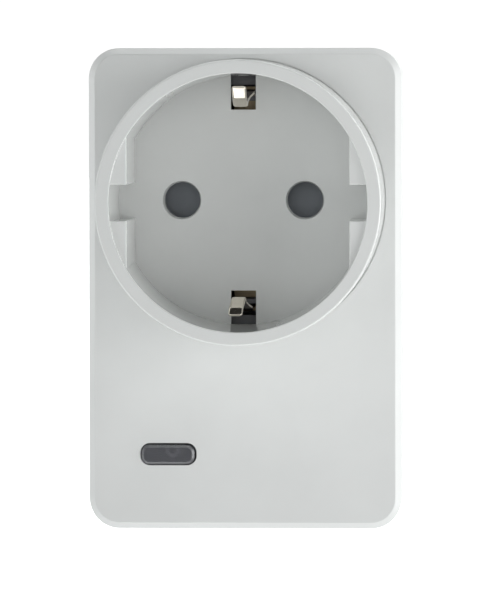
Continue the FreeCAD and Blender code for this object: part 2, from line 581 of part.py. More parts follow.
def earth_frame():
    """A brass bridge behind the carrier, with a raised shelf under each earth clip."""
    back = FRAME_Y + FRAME_THICK
    shelf_front, shelf_back = (CLIP_PIVOT_Y + y for y in SHELF_Y)
    half = [
        box(-FRAME_HALF, FRAME_HALF, FRAME_Y, back, 0, FRAME_REACH),
        box(-FRAME_ARM_HALF, FRAME_ARM_HALF, shelf_front, back, FRAME_REACH - FRAME_THICK, FRAME_REACH),
        box(-FRAME_ARM_HALF, FRAME_ARM_HALF, shelf_front, shelf_back, SHELF_INNER, FRAME_REACH),
        box(-FRAME_HALF, FRAME_HALF, FRAME_Y, REAR_INNER_Y - 3.2, *STEM_Z),
    ]
    return join(half + [upright(piece) for piece in half])


# ---- busbars ----
STRAP = 0.8
STRAP_HALF = 2.0
TERMINAL_Z = -25.2
STRAP_TOP_Z = 2.5
CONTACT_FOOT_Y = BLOCK_BACK_Y + 0.25
PIN_TAIL_Y = REAR_INNER_Y - 3.3
BRIDGE_Z = -7.0
LINE_OUT_X = (13.4, 16.6)


def strap_to_board(x0, x1, y0):
    """A strip that drops behind the socket and turns forward to the main board."""
    drop = box(x0, x1, y0, y0 + STRAP, TERMINAL_Z, STRAP_TOP_Z)
    leg = box(x0, x1, BOARD_Y + 0.05, y0 + STRAP, TERMINAL_Z, TERMINAL_Z + STRAP)
    return join([drop, leg])


def line_in_strap():
    return strap_to_board(PIN_X - STRAP_HALF, PIN_X + STRAP_HALF, PIN_TAIL_Y)


def neutral_strap():
    x0, x1 = -PIN_X - STRAP_HALF, STRAP_HALF - PIN_X
    bridge = box(x0, x1, CONTACT_FOOT_Y, PIN_TAIL_Y + STRAP, BRIDGE_Z, BRIDGE_Z + STRAP)
    foot = box(x0, x1, CONTACT_FOOT_Y, CONTACT_FOOT_Y + STRAP, BRIDGE_Z, STRAP_HALF)
    return join([strap_to_board(x0, x1, PIN_TAIL_Y), bridge, foot])


def line_out_strap():
    x0, x1 = LINE_OUT_X
    foot = box(PIN_X - 1.5, x1, CONTACT_FOOT_Y, CONTACT_FOOT_Y + STRAP, -STRAP_HALF, STRAP_TOP_Z)
    return join([strap_to_board(x0, x1, CONTACT_FOOT_Y), foot])


# ---- button and indicator ----
FLANGE_Y = PLATE_BACK_Y + 0.08
BUTTON_FLANGE = dict(length=10.6, width=5.4, corner=2.6)
BUTTON_FLANGE_THICK = 0.7
BUTTON_STEM_R = 0.9
GUIDE_X = BUTTON_X + 0.75
GUIDE_FRONT_Y = FRONT_Y + 0.35
GUIDE_RING_Z = BUTTON_Z + 0.75
GUIDE_RING_R = (0.62, 1.15)
GUIDE_OPEN = 0.25           # the ring is open above this height over its centre
GUIDE_STEM_HALF = 0.25
GUIDE_STEM_Z = (-1.3, -0.05)
GUIDE_SLIP = 0.04
SWITCH_HALF = 2.25
SWITCH_HEIGHT = 2.9
SWITCH_BORE_R = 1.3
PLUNGER_R = 1.22
PLUNGER_Y = (-0.8, 1.6)     # plunger's ends, from the switch's top
PLUNGER_GAP = 0.05          # between the button's stem and the plunger
SWITCH_TOP_Y = BOARD_FRONT_Y - SWITCH_HEIGHT
LED = dict(x0=-0.1, x1=1.5, half_z=0.4, height=0.75)


def button_cap():
    face_y = FRONT_Y - BUTTON_PROUD
    flange_back = FLANGE_Y + BUTTON_FLANGE_THICK
    lens = rounded_bar(BUTTON_X, BUTTON_Z, BUTTON_LENGTH, BUTTON_WIDTH, BUTTON_CORNER, face_y, FLANGE_Y)
    lens = lens.makeChamfer(BUTTON_BEVEL, [e for e in lens.Edges if lies_at_y(e, face_y)])
    flange = rounded_bar(BUTTON_X, BUTTON_Z, **BUTTON_FLANGE, y0=FLANGE_Y, y1=flange_back)
    stem_end = SWITCH_TOP_Y + PLUNGER_Y[0] - PLUNGER_GAP
    stem = rod(BUTTON_STEM_R, FLANGE_Y, stem_end, BUTTON_STEM_X, BUTTON_Z)
    return join([lens, flange, stem]).cut(light_guide_shape(GUIDE_SLIP, flange_back))


def light_guide_shape(grow, y1):
    """A half ring open upward on a short stem, the shape that glows behind the lens."""
    inner, outer = GUIDE_RING_R
    y0 = GUIDE_FRONT_Y - grow
    x, z = GUIDE_X, GUIDE_RING_Z
    ring = rod(outer + grow, y0, y1, x, z).cut(rod(inner - grow, y0 - PAST, y1 + PAST, x, z))
    opening = box(x - 2 * outer, x + 2 * outer, y0 - PAST, y1 + PAST, z + GUIDE_OPEN + grow, z + 2 * outer)
    half = GUIDE_STEM_HALF + grow
    stem = box(x - half, x + half, y0, y1, BUTTON_Z + GUIDE_STEM_Z[0] - grow, BUTTON_Z + GUIDE_STEM_Z[1])
    return join([ring.cut(opening), stem])


def light_guide():
    return light_guide_shape(0.0, PLATE_BACK_Y + 0.6)


def status_led():
    y1 = BOARD_FRONT_Y - SOLDER
    return box(GUIDE_X + LED["x0"], GUIDE_X + LED["x1"], y1 - LED["height"], y1,
               BUTTON_Z - LED["half_z"], BUTTON_Z + LED["half_z"])


def switch_body():
    body = box(BUTTON_STEM_X - SWITCH_HALF, BUTTON_STEM_X + SWITCH_HALF, SWITCH_TOP_Y, BOARD_FRONT_Y - SOLDER,
               BUTTON_Z - SWITCH_HALF, BUTTON_Z + SWITCH_HALF)
    body = round_edges(body, 0.3, lambda e: e.BoundBox.YLength > SWITCH_HEIGHT / 2)
    return body.cut(rod(SWITCH_BORE_R, SWITCH_TOP_Y - PAST, SWITCH_TOP_Y + 2.2, BUTTON_STEM_X, BUTTON_Z))


def switch_plunger():
    top, foot = (SWITCH_TOP_Y + y for y in PLUNGER_Y)
    return rod(PLUNGER_R, top, foot, BUTTON_STEM_X, BUTTON_Z)


# ---- main board ----
BOARD_HALF = 21.3
BOARD_Z = (-48.4, -23.8)
BOARD_CORNER = 1.0
BOARD_NOTCH_X = 17.0        # the board's lower corners end here, beside the screw towers
CHIP_STANDOFF = 0.12
CHIP_CHAMFER = 0.2
CHIP_LEG = dict(half=0.18, height=0.35, inside=0.1, outside=0.9)
# moulded packages: centre (x, z), length, width, height, legs a side and their pitch
METERING_CHIP = dict(x=9.5, z=-28.6, long=9.9, wide=3.9, height=1.5, legs=8, pitch=1.27)
SUPPLY_CHIP = dict(x=-17.6, z=-30.6, long=4.9, wide=3.9, height=1.5, legs=4, pitch=1.27)
RECTIFIER = dict(x=-19.0, z=-37.4, long=3.8, wide=3.9, height=2.2, legs=2, pitch=2.5)
# small parts: the low left corner of each, then the size they share
RESISTOR_ROW = dict(x=-3.2, z=-33.2, pitch=2.9, count=3)
RESISTOR_SPOTS = [(-10.5, -27.5), (-10.5, -30.0), (-6.9, -27.5)]
RESISTOR_SIZE = dict(long=2.0, wide=1.25, height=0.5)
CAPACITOR_ROW = dict(x=2.0, z=-25.6, pitch=2.7, count=3)
CAPACITOR_SPOTS = [(-6.9, -30.0), (-3.0, -30.4)]
CAPACITOR_SIZE = dict(long=1.6, wide=0.8, height=0.8)


def main_board():
    board = Part.Face(rounded_rectangle(-BOARD_HALF, BOARD_HALF, *BOARD_Z, BOARD_CORNER, BOARD_FRONT_Y))
    board = board.extrude(V(0, BOARD_THICK, 0))
    front, back = BOARD_FRONT_Y - PAST, BOARD_Y + PAST
    corner = box(BOARD_NOTCH_X, BOARD_HALF + PAST, front, back, BOARD_Z[0] - PAST, SCREW_LOW_Z)
    notches = [rod(TUBE_R + 0.5, front, back, x, z) for x, z in SCREW_LOW_SPOTS]
    return board.cut(notches + [corner, mirrored(corner, V(1, 0, 0))])


def on_front(x0, x1, z0, z1, height, gap=SOLDER):
    """A component on the board's front side."""
    y1 = BOARD_FRONT_Y - gap
    return box(x0, x1, y1 - height, y1, z0, z1)


def chip(x, z, long, wide, height, legs, pitch):
    """A moulded package with gull legs along its two long sides."""
    top_y = BOARD_FRONT_Y - CHIP_STANDOFF - height
    body = on_front(x - long / 2, x + long / 2, z - wide / 2, z + wide / 2, height, CHIP_STANDOFF)
    pieces = [body.makeChamfer(CHIP_CHAMFER, [e for e in body.Edges if lies_at_y(e, top_y)])]
    for row in (-1, 1):
        ends = (z + row * (wide / 2 - CHIP_LEG["inside"]), z + row * (wide / 2 + CHIP_LEG["outside"]))
        for i in range(legs):
            leg_x = x + (i - (legs - 1) / 2) * pitch
            pieces.append(on_front(leg_x - CHIP_LEG["half"], leg_x + CHIP_LEG["half"],
                                   min(ends), max(ends), CHIP_LEG["height"]))
    return join(pieces)


def small_parts(row, spots, size):
    """Identical small parts, some in a row and some at their own spots."""
    in_row = [(row["x"] + i * row["pitch"], row["z"]) for i in range(row["count"])]
    return group(on_front(x, x + size["long"], z, z + size["wide"], size["height"]) for x, z in in_row + spots)


# ---- radio module on the board's front side ----
MODULE_Y = BOARD_FRONT_Y - 2.2      # rear face of its board
MODULE_THICK = 0.8
MODULE_FRONT_Y = MODULE_Y - MODULE_THICK
MODULE_X = (-4.4, 14.6)
MODULE_Z = (-47.6, -35.2)
SHIELD_X = (-0.6, 13.6)
SHIELD_Z = (-46.6, -36.2)
SHIELD_HEIGHT = 2.03
SHIELD_WALL = 0.25
RADIO_CHIP_X = (3.5, 8.5)
RADIO_CHIP_Z = (-44.0, -39.0)
CRYSTAL_X = (9.6, 12.1)
CRYSTAL_Z = (-41.0, -37.8)
ANTENNA_X = (-3.9, -1.3)
ANTENNA_LOW_Z = -46.7
ANTENNA_RUNGS = 8
ANTENNA_PITCH = 1.35
ANTENNA_TRACK = 0.4
ANTENNA_THICK = 0.08
HEADER_Z = -36.2
HEADER_PITCH = 2.54
HEADER_PINS = 6
HEADER_R = 0.3


def radio_board():
    return box(*MODULE_X, MODULE_FRONT_Y, MODULE_Y, *MODULE_Z)


def radio_shield():
    """A drawn metal can, open towards its board."""
    back = MODULE_FRONT_Y - SOLDER
    (x0, x1), (z0, z1), wall = SHIELD_X, SHIELD_Z, SHIELD_WALL
    outer = box(x0, x1, back - SHIELD_HEIGHT, back, z0, z1)
    outer = round_edges(outer, 0.5, lambda e: e.BoundBox.YLength > SHIELD_HEIGHT / 2)
    return outer.cut(box(x0 + wall, x1 - wall, back - SHIELD_HEIGHT + wall, back + PAST, z0 + wall, z1 - wall))


def radio_chip():
    back = MODULE_FRONT_Y - SOLDER
    body = box(*RADIO_CHIP_X, back - 0.88, back, *RADIO_CHIP_Z)
    return round_edges(body, CHIP_CHAMFER, lambda e: e.BoundBox.YLength > 0.5)


def crystal():
    back = MODULE_FRONT_Y - SOLDER
    return box(*CRYSTAL_X, back - 0.68, back, *CRYSTAL_Z)


def antenna():
    """A flat meander of copper on the module's free end."""
    y1 = MODULE_FRONT_Y - SOLDER
    y0 = y1 - ANTENNA_THICK
    left, right = ANTENNA_X
    bars = []
    for i in range(ANTENNA_RUNGS):
        z = ANTENNA_LOW_Z + i * ANTENNA_PITCH
        bars.append(box(left, right, y0, y1, z, z + ANTENNA_TRACK))
        if i:
            x = left if i % 2 else right - ANTENNA_TRACK
            bars.append(box(x, x + ANTENNA_TRACK, y0, y1, z - ANTENNA_PITCH, z + ANTENNA_TRACK))
    return join(bars)


def header_pins():
    return group(rod(HEADER_R, MODULE_Y + 0.05, BOARD_FRONT_Y - 0.05, i * HEADER_PITCH, HEADER_Z)
                 for i in range(HEADER_PINS))


# ---- parts on the board's rear side ----
STANDOFF = 0.3              # parts on leads stand this far off the board
RELAY_X = (1.5, 20.0)
RELAY_Z = (-36.5, -26.3)
RELAY_HEIGHT = 15.0
RELAY_WALL = 0.8
RELAY_BASE = 2.0
COIL_X = 7.2
COIL_Z = -31.4
COIL_Y = (2.9, 11.25)       # outer faces of the bobbin's lower and upper cheek, above the board
CHEEK = dict(r=3.7, thick=0.6)
BOBBIN_R = (1.25, 1.8)
WINDING_R = (1.85, 3.3)
CORE_R = 1.2
IRON = 0.8                  # thickness of the yoke and the armature
IRON_Z = (-34.0, -28.8)
YOKE_X = 12.2
YOKE_Y = 2.05               # foot of the yoke, above the board
ARMATURE_Y = -22.5          # underside of the armature, where it rocks on the yoke
SPRING_BLADE = dict(x0=0.9, x1=1.3)         # contact spring, beyond the yoke
BLADE_Y = -31.4
BLADE_Z = (-33.0, -29.8)
CONTACT_Y = -30.2
CONTACT_R = 1.0
FIXED_POST_X = (14.9, 15.5)
CAN = dict(x=-5.4, r=4.0, height=12.0, edge=0.5, waist_y=(1.6, 2.2), waist_r=3.75)
CAN_Z = (-30.2, -39.2)
FILM_X = (0.6, 13.6)
FILM_Z = (-47.6, -42.2)
FILM_HEIGHT = 11.3
VARISTOR = dict(x0=-13.1, x1=-10.3, z=-30.4, r=4.4, centre=5.4, edge=0.9)
FUSE = dict(x=-17.4, z=-30.2, r=3.9, height=7.8, edge=0.5)
CHOKE = dict(x=-14.0, z=-40.2)
CHOKE_R = 1.6
CHOKE_FLANGE = dict(r=3.4, thick=1.2)
CHOKE_HEIGHT = 9.3
CHOKE_WIRE_R = (1.65, 2.9)
SHUNT_X = (16.2, 19.2)
SHUNT_Z = (-38.2, -41.4)
SHUNT_RISE = 4.2
SHUNT_THICK = 0.8
SHEET_HALF = 20.5
SHEET_Z = (-41.5, -23.2)
SHEET_Y = (0.55, 0.25)      # in front of the rear cover's inner face


def tube(radii, y0, y1, x, z):
    """A round tube along Y."""
    inner, outer = radii
    return rod(outer, y0, y1, x, z).cut(rod(inner, y0 - PAST, y1 + PAST, x, z))


def relay_case():
    y0, y1, wall = BOARD_Y + 0.1, BOARD_Y + RELAY_HEIGHT, RELAY_WALL
    (x0, x1), (z0, z1) = RELAY_X, RELAY_Z
    outer = round_edges(box(x0, x1, y0, y1, z0, z1), 0.6, lambda e: e.BoundBox.YLength > 10)
    return outer.cut(box(x0 + wall, x1 - wall, y0 - PAST, y1 - wall, z0 + wall, z1 - wall))


def relay_base():
    inset = RELAY_WALL + 0.05
    return box(RELAY_X[0] + inset, RELAY_X[1] - inset, BOARD_Y + 0.15, BOARD_Y + RELAY_BASE,
               RELAY_Z[0] + inset, RELAY_Z[1] - inset)


def relay_bobbin():
    low, high = (BOARD_Y + y for y in COIL_Y)
    bore, outer = BOBBIN_R
    cheeks = [rod(CHEEK["r"], y, y + CHEEK["thick"], COIL_X, COIL_Z) for y in (low, high)]
    core = rod(outer, low, high + 0.55, COIL_X, COIL_Z)
    return join([core] + cheeks).cut(rod(bore, low - PAST, high + 2 * PAST, COIL_X, COIL_Z))


def relay_winding():
    low, high = (BOARD_Y + y for y in COIL_Y)
    return tube(WINDING_R, low + CHEEK["thick"] + 0.05, high - 0.05, COIL_X, COIL_Z)


def relay_yoke():
    """Iron core and L-shaped yoke."""
    y0 = BOARD_Y + YOKE_Y
    foot = box(5.0, YOKE_X, y0, y0 + IRON, *IRON_Z)
    leg = box(YOKE_X - IRON, YOKE_X, y0, ARMATURE_Y - 0.05, *IRON_Z)
    core = rod(CORE_R, y0, ARMATURE_Y - 0.4, COIL_X, COIL_Z)
    return join([foot, leg, core])


def relay_armature():
    """The rocking plate with the contact spring that hangs down past the yoke."""
    spring_x0, spring_x1 = YOKE_X + SPRING_BLADE["x0"], YOKE_X + SPRING_BLADE["x1"]
    plate = box(3.8, spring_x1, ARMATURE_Y, ARMATURE_Y + IRON, *IRON_Z)
    spring = box(spring_x0, spring_x1, BLADE_Y, ARMATURE_Y + IRON / 2, *BLADE_Z)
    button = bar(CONTACT_R, (spring_x1 - 0.1, CONTACT_Y, COIL_Z), (spring_x1 + 0.4, CONTACT_Y, COIL_Z))
    return join([plate, spring, button])


def relay_fixed_contact():
    x0, x1 = FIXED_POST_X
    post = box(x0, x1, BOARD_Y + YOKE_Y, -28.4, *BLADE_Z)
    button = bar(CONTACT_R, (x0 - 0.45, CONTACT_Y, COIL_Z), (x0 + 0.1, CONTACT_Y, COIL_Z))
    return join([post, button])


def bulk_capacitors():
    cans = []
    top = BOARD_Y + CAN["height"]
    low, high = (BOARD_Y + y for y in CAN["waist_y"])
    for z in CAN_Z:
        can = rod(CAN["r"], BOARD_Y + STANDOFF, top, CAN["x"], z)
        can = round_edges(can, CAN["edge"], lambda e: lies_at_y(e, top))
        cans.append(can.cut(tube((CAN["waist_r"], CAN["r"] + PAST), low, high, CAN["x"], z)))
    return group(cans)


def film_capacitor():
    body = box(*FILM_X, BOARD_Y + STANDOFF, BOARD_Y + FILM_HEIGHT, *FILM_Z)
    return round_edges(body, 0.4, lambda e: e.CenterOfMass.y > BOARD_Y + 2)


def varistor():
    y = BOARD_Y + VARISTOR["centre"]
    disc = bar(VARISTOR["r"], (VARISTOR["x0"], y, VARISTOR["z"]), (VARISTOR["x1"], y, VARISTOR["z"]))
    return round_edges(disc, VARISTOR["edge"], lambda e: e.Length > 20)


def fuse():
    top = BOARD_Y + FUSE["height"]
    body = rod(FUSE["r"], BOARD_Y + STANDOFF, top, FUSE["x"], FUSE["z"])
    return round_edges(body, FUSE["edge"], lambda e: lies_at_y(e, top))


def choke_core():
    y0, y1, thick = BOARD_Y + STANDOFF, BOARD_Y + CHOKE_HEIGHT, CHOKE_FLANGE["thick"]
    flanges = [rod(CHOKE_FLANGE["r"], y, y + thick, **CHOKE) for y in (y0, y1 - thick)]
    return join([rod(CHOKE_R, y0, y1, **CHOKE)] + flanges)


def choke_winding():
    clear = CHOKE_FLANGE["thick"] + 0.05
    return tube(CHOKE_WIRE_R, BOARD_Y + STANDOFF + clear, BOARD_Y + CHOKE_HEIGHT - clear, **CHOKE)


def shunt():
    """A bowed strip of resistance alloy in the line's path."""
    foot, top = BOARD_Y + 0.1, BOARD_Y + SHUNT_RISE
    path = [(foot, SHUNT_Z[0]), (top, SHUNT_Z[0]), (top, SHUNT_Z[1]), (foot, SHUNT_Z[1])]
    return bent_strip(path, 1.0, SHUNT_THICK, *SHUNT_X)


def insulating_sheet():
    """A thin sheet between the live parts and the rear cover."""
    front, back = (REAR_INNER_Y - y for y in SHEET_Y)
    return box(-SHEET_HALF, SHEET_HALF, front, back, *SHEET_Z)


def rating_plate():
    """A blank plate in the recess on the back."""
    half, low, high = PLATE_HALF - PLATE_GAP, PLATE_Z[0] + PLATE_GAP, PLATE_Z[1] - PLATE_GAP
    outline = rounded_rectangle(-half, half, low, high, PLATE_CORNER - PLATE_GAP, REAR_Y - PLATE_RECESS)
    return Part.Face(outline).extrude(V(0, 0.2, 0))


# ---- screws ----
CROSS_HALF = 0.22           # half width of the cross recess's arms


def pan_screw(x, z, seat, head_r, head_height, shank_r, length):
    """A screw driven from the back, its head at seat, with a cross recess."""
    top, point = seat + head_height, seat - length
    head = round_edges(rod(head_r, seat, top, x, z), head_height * 0.45, lambda e: lies_at_y(e, top))
    shank = rod(shank_r, point, seat + 0.2, x, z)
    shank = shank.makeChamfer(shank_r * 0.5, [e for e in shank.Edges if lies_at_y(e, point)])
    arm = head_r * 0.62
    floor = top - head_height * 0.6
    cross = [box(x - dx, x + dx, floor, top + PAST, z - dz, z + dz) for dx, dz in
             ((arm, CROSS_HALF), (CROSS_HALF, arm))]
    return join([head, shank]).cut(cross)


def housing_screw(x, z, seat, length):
    return pan_screw(x, z, seat, HEAD_R, HEAD_HEIGHT, SCREW_R, length)


def case_screws():
    return group(housing_screw(x, z, SCREW_SEAT_Y, 8.4) for x, z in SCREW_SPOTS)


def insert_screws():
    return group(housing_screw(x, z, EAR_BACK_Y, 7.4) for x, z in EAR_SPOTS if z < 0)


def carrier_screws():
    return group(pan_screw(x, z, BLOCK_FRONT_Y + CARRIER_SEAT, **CARRIER_SCREW) for x, z in CARRIER_SPOTS)


NODES = {
    "front_cover": front_cover,
    "rear_cover": rear_cover,
    "socket_insert": socket_insert,
    "plug_body": plug_body,
    "plug_pin_line": lambda: plug_pin(1),
    "plug_pin_neutral": lambda: plug_pin(-1),
    "plug_earth_contact_top": lambda: plug_earth_contact(1),
    "plug_earth_contact_bottom": lambda: plug_earth_contact(-1),
    "contact_carrier": contact_carrier,
    "shutter": shutter,
    "shutter_spring": shutter_spring,
    "socket_contact_line": lambda: socket_contact(1),
    "socket_contact_neutral": lambda: socket_contact(-1),
    "contact_leaf_line": lambda: contact_leaf(1),
    "contact_leaf_neutral": lambda: contact_leaf(-1),
    "earth_clip_top": lambda: earth_clip(**CLIP_TOP),
    "earth_clip_bottom": lambda: upright(earth_clip(**CLIP_LOW)),
    "earth_frame": earth_frame,
    "line_in_strap": line_in_strap,
    "line_out_strap": line_out_strap,
    "neutral_strap": neutral_strap,
    "button_cap": button_cap,
    "light_guide": light_guide,
    "status_led": status_led,
    "switch_body": switch_body,
    "switch_plunger": switch_plunger,
    "main_board": main_board,
    "metering_chip": lambda: chip(**METERING_CHIP),
    "supply_chip": lambda: chip(**SUPPLY_CHIP),
    "rectifier": lambda: chip(**RECTIFIER),
    "chip_resistors": lambda: small_parts(RESISTOR_ROW, RESISTOR_SPOTS, RESISTOR_SIZE),
    "chip_capacitors": lambda: small_parts(CAPACITOR_ROW, CAPACITOR_SPOTS, CAPACITOR_SIZE),
    "radio_board": radio_board,
    "radio_shield": radio_shield,
    "radio_chip": radio_chip,
    "crystal": crystal,
    "antenna": antenna,
    "header_pins": header_pins,
    "relay_case": relay_case,
    "relay_base": relay_base,
    "relay_bobbin": relay_bobbin,
    "relay_winding": relay_winding,
    "relay_yoke": relay_yoke,
    "relay_armature": relay_armature,
    "relay_fixed_contact": relay_fixed_contact,
    "bulk_capacitors": bulk_capacitors,
    "film_capacitor": film_capacitor,
    "varistor": varistor,
    "fuse": fuse,
    "choke_core": choke_core,
    "choke_winding": choke_winding,
    "shunt": shunt,
    "insulating_sheet": insulating_sheet,
    "rating_plate": rating_plate,
    "case_screws": case_screws,
    "insert_screws": insert_screws,
    "carrier_screws": carrier_screws,
}

os.makedirs("parts", exist_ok=True)
for node, make in NODES.items():
    shape = make()
    shape.exportStep(f"parts/{node}.step")
    print(f"{node}: {len(shape.Solids)} solids, {shape.Volume:.1f} mm3, valid {shape.isValid()}")
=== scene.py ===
"""Looks of the plug-in power meter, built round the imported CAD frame. Metres, same axes as the frame."""

import json
import math

import bmesh
import bpy
from mathutils import Matrix, Vector


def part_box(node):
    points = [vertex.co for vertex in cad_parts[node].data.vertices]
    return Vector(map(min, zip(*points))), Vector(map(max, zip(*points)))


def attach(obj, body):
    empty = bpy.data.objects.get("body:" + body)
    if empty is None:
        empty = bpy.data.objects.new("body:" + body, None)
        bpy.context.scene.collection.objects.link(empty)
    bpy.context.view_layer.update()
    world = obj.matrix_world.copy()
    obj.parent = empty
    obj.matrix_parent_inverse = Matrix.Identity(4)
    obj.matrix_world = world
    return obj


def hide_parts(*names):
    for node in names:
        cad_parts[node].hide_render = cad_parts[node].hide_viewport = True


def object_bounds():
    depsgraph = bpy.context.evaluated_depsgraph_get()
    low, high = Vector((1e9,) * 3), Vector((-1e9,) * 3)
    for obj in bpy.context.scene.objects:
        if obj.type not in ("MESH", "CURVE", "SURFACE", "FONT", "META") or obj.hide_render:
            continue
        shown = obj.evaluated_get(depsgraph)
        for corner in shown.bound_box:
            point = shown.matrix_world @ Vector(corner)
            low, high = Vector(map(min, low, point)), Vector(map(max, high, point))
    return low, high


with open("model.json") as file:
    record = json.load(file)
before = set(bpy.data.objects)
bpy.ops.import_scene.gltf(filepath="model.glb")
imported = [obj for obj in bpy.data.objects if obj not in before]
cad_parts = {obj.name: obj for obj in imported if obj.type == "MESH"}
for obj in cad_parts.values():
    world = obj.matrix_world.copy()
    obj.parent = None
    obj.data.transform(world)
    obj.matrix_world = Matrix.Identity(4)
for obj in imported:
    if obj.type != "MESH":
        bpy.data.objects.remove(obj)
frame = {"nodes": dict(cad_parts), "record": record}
cad_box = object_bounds()
nodes = frame["nodes"]
scene = bpy.context.scene

MM = 0.001
face_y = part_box("front_cover")[0].y         # the housing's face
rim_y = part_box("socket_insert")[0].y        # the collar's rim, nearest the viewer


# ---------------------------------------------------------------- writing a material
class Nodes:
    """A short way to write a material's node tree."""

    def __init__(self, name):
        self.material = bpy.data.materials.new(name)
        self.material.use_nodes = True
        self.tree = self.material.node_tree
        self.shader = self.tree.nodes["Principled BSDF"]

    def add(self, kind, **settings):
        """A new node; each setting is a property of it, or an input with its spaces as underscores."""
        node = self.tree.nodes.new(kind)
        for key, value in settings.items():
            if hasattr(node, key):
                setattr(node, key, value)
            else:
                node.inputs[key.replace("_", " ")].default_value = value
        return node

    def link(self, a, output, b, socket):
        self.tree.links.new(a.outputs[output], b.inputs[socket])

    def set(self, **values):
        """Uniform values, on the shader's own sockets."""
        for key, value in values.items():
            self.shader.inputs[key.replace("_", " ")].default_value = value

    def surface(self, tint, gloss=None, relief=None):
        """Feeds the shader its colour, roughness and bumps."""
        self.link(tint, "Color", self.shader, "Base Color")
        if gloss is not None:
            self.link(gloss, "Result", self.shader, "Roughness")
        if relief is not None:
            self.link(relief, "Normal", self.shader, "Normal")

    def place(self, stretch=(1, 1, 1)):
        """Object coordinates, stretched along an axis where the surface was drawn or scratched."""
        where = self.add("ShaderNodeTexCoord")
        mapping = self.add("ShaderNodeMapping", Scale=stretch)
        self.link(where, "Object", mapping, "Vector")
        return mapping

    def noise(self, scale, detail, roughness=0.5, stretch=(1, 1, 1)):
        noise = self.add("ShaderNodeTexNoise", Scale=scale, Detail=detail, Roughness=roughness)
        self.link(self.place(stretch), "Vector", noise, "Vector")
        return noise

    def spread(self, pattern, low, high):
        """Maps a 0 to 1 pattern onto a range."""
        ranged = self.add("ShaderNodeMapRange", To_Min=low, To_Max=high)
        self.link(pattern, "Fac", ranged, "Value")
        return ranged

    def colours(self, source, stops, output="Fac"):
        """A colour ramp, given as (position, colour) stops."""
        ramp = self.add("ShaderNodeValToRGB")
        first, last = ramp.color_ramp.elements[0], ramp.color_ramp.elements[1]
        first.position, first.color = stops[0][0], (*stops[0][1], 1)
        last.position, last.color = stops[-1][0], (*stops[-1][1], 1)
        for position, colour in stops[1:-1]:
            ramp.color_ramp.elements.new(position).color = (*colour, 1)
        self.link(source, output, ramp, "Fac")
        return ramp

    def over(self, base, mask, output, colour):
        """Lays a colour over a base where the mask is light."""
        mix = self.add("ShaderNodeMixRGB", Color2=(*colour, 1))
        self.link(mask, output, mix, "Fac")
        self.link(base, "Color", mix, "Color1")
        return mix

    def bump(self, pattern, strength, distance, under=None):
        """Bumps from a pattern, laid on the bumps under it if there are any."""
        bump = self.add("ShaderNodeBump", Strength=strength, Distance=distance)
        self.link(pattern, "Fac", bump, "Height")
        if under is not None:
            self.link(under, "Normal", bump, "Normal")
        return bump


def shade(colour, factor):
    """A lighter or darker shade of a colour."""
    return tuple(min(1.0, c * factor) for c in colour)


# ---------------------------------------------------------------- kinds of material
def moulded(name, colour, roughness, grain):
    """Injection-moulded plastic: faint clouding, slightly uneven gloss and a fine spark-eroded grain."""
    m = Nodes(name)
    cloudy = m.noise(scale=90, detail=4)
    tint = m.colours(cloudy, [(0.3, shade(colour, 0.98)), (0.7, shade(colour, 1.02))])
    gloss = m.spread(m.noise(scale=420, detail=2), roughness - 0.04, roughness + 0.05)
    fine = m.bump(m.noise(scale=2600, detail=2), strength=grain, distance=0.04 * MM)
    broad = m.bump(m.noise(scale=260, detail=1), strength=0.06, distance=0.1 * MM, under=fine)
    m.surface(tint, gloss, broad)
    m.set(IOR=1.49)
    return m.material


def metal(name, colour, roughness, tarnish=0.06, scratches=0.1, stretch=(1, 1, 1)):
    """Plated or rolled metal with fine scratches and a little tarnish."""
    m = Nodes(name)
    patches = m.noise(scale=700, detail=4, roughness=0.6)
    tint = m.colours(patches, [(0.35, shade(colour, 1 - tarnish)), (0.65, colour)])
    lines = m.noise(scale=1800, detail=3, roughness=0.7, stretch=stretch)
    gloss = m.spread(lines, max(0.02, roughness - 0.06), roughness + 0.08)
    m.surface(tint, gloss, m.bump(lines, strength=scratches, distance=0.03 * MM))
    m.set(Metallic=1.0)
    return m.material


INSERT_WHITE = (0.83, 0.84, 0.83)


def polished_insert():
    """The polished socket moulding, with faint draw marks along the collar where the mould slides."""
    m = Nodes("white_insert")
    cloudy = m.noise(scale=120, detail=4)
    tint = m.colours(cloudy, [(0.3, shade(INSERT_WHITE, 0.985)), (0.7, shade(INSERT_WHITE, 1.01))])
    drawn = m.noise(scale=1500, detail=3, roughness=0.6, stretch=(1, 0.04, 1))
    m.surface(tint, m.spread(drawn, 0.05, 0.09), m.bump(drawn, strength=0.05, distance=0.03 * MM))
    m.set(IOR=1.5)
    return m.material


BUTTON_PROUD = 0.3 * MM                     # the button stands this far out of the face
GUIDE_CENTRE = (-11.25 * MM, face_y - BUTTON_PROUD, -38.85 * MM)
GHOST_NEAR, GHOST_FAR = 0.3 * MM, 1.5 * MM  # distances from the guide's centre that the painted guide light's ramp spans
GHOST_FADE = 0.5 * MM                       # the half ring's open ends fade over this height
SMOKE_DARK, SMOKE_LIGHT = (0.138, 0.14, 0.168), (0.158, 0.16, 0.188)
# painted light: the lighter tint where the light guide glows through the cap
PAINTED_GUIDE_TINT = (0.25, 0.25, 0.28)
# painted highlight: the lighter colour laid on the cap's bevel
PAINTED_BEVEL_HIGHLIGHT = (0.42, 0.425, 0.45)
OFF, PARTLY, ON = (0, 0, 0), (0.6, 0.6, 0.6), (1, 1, 1)


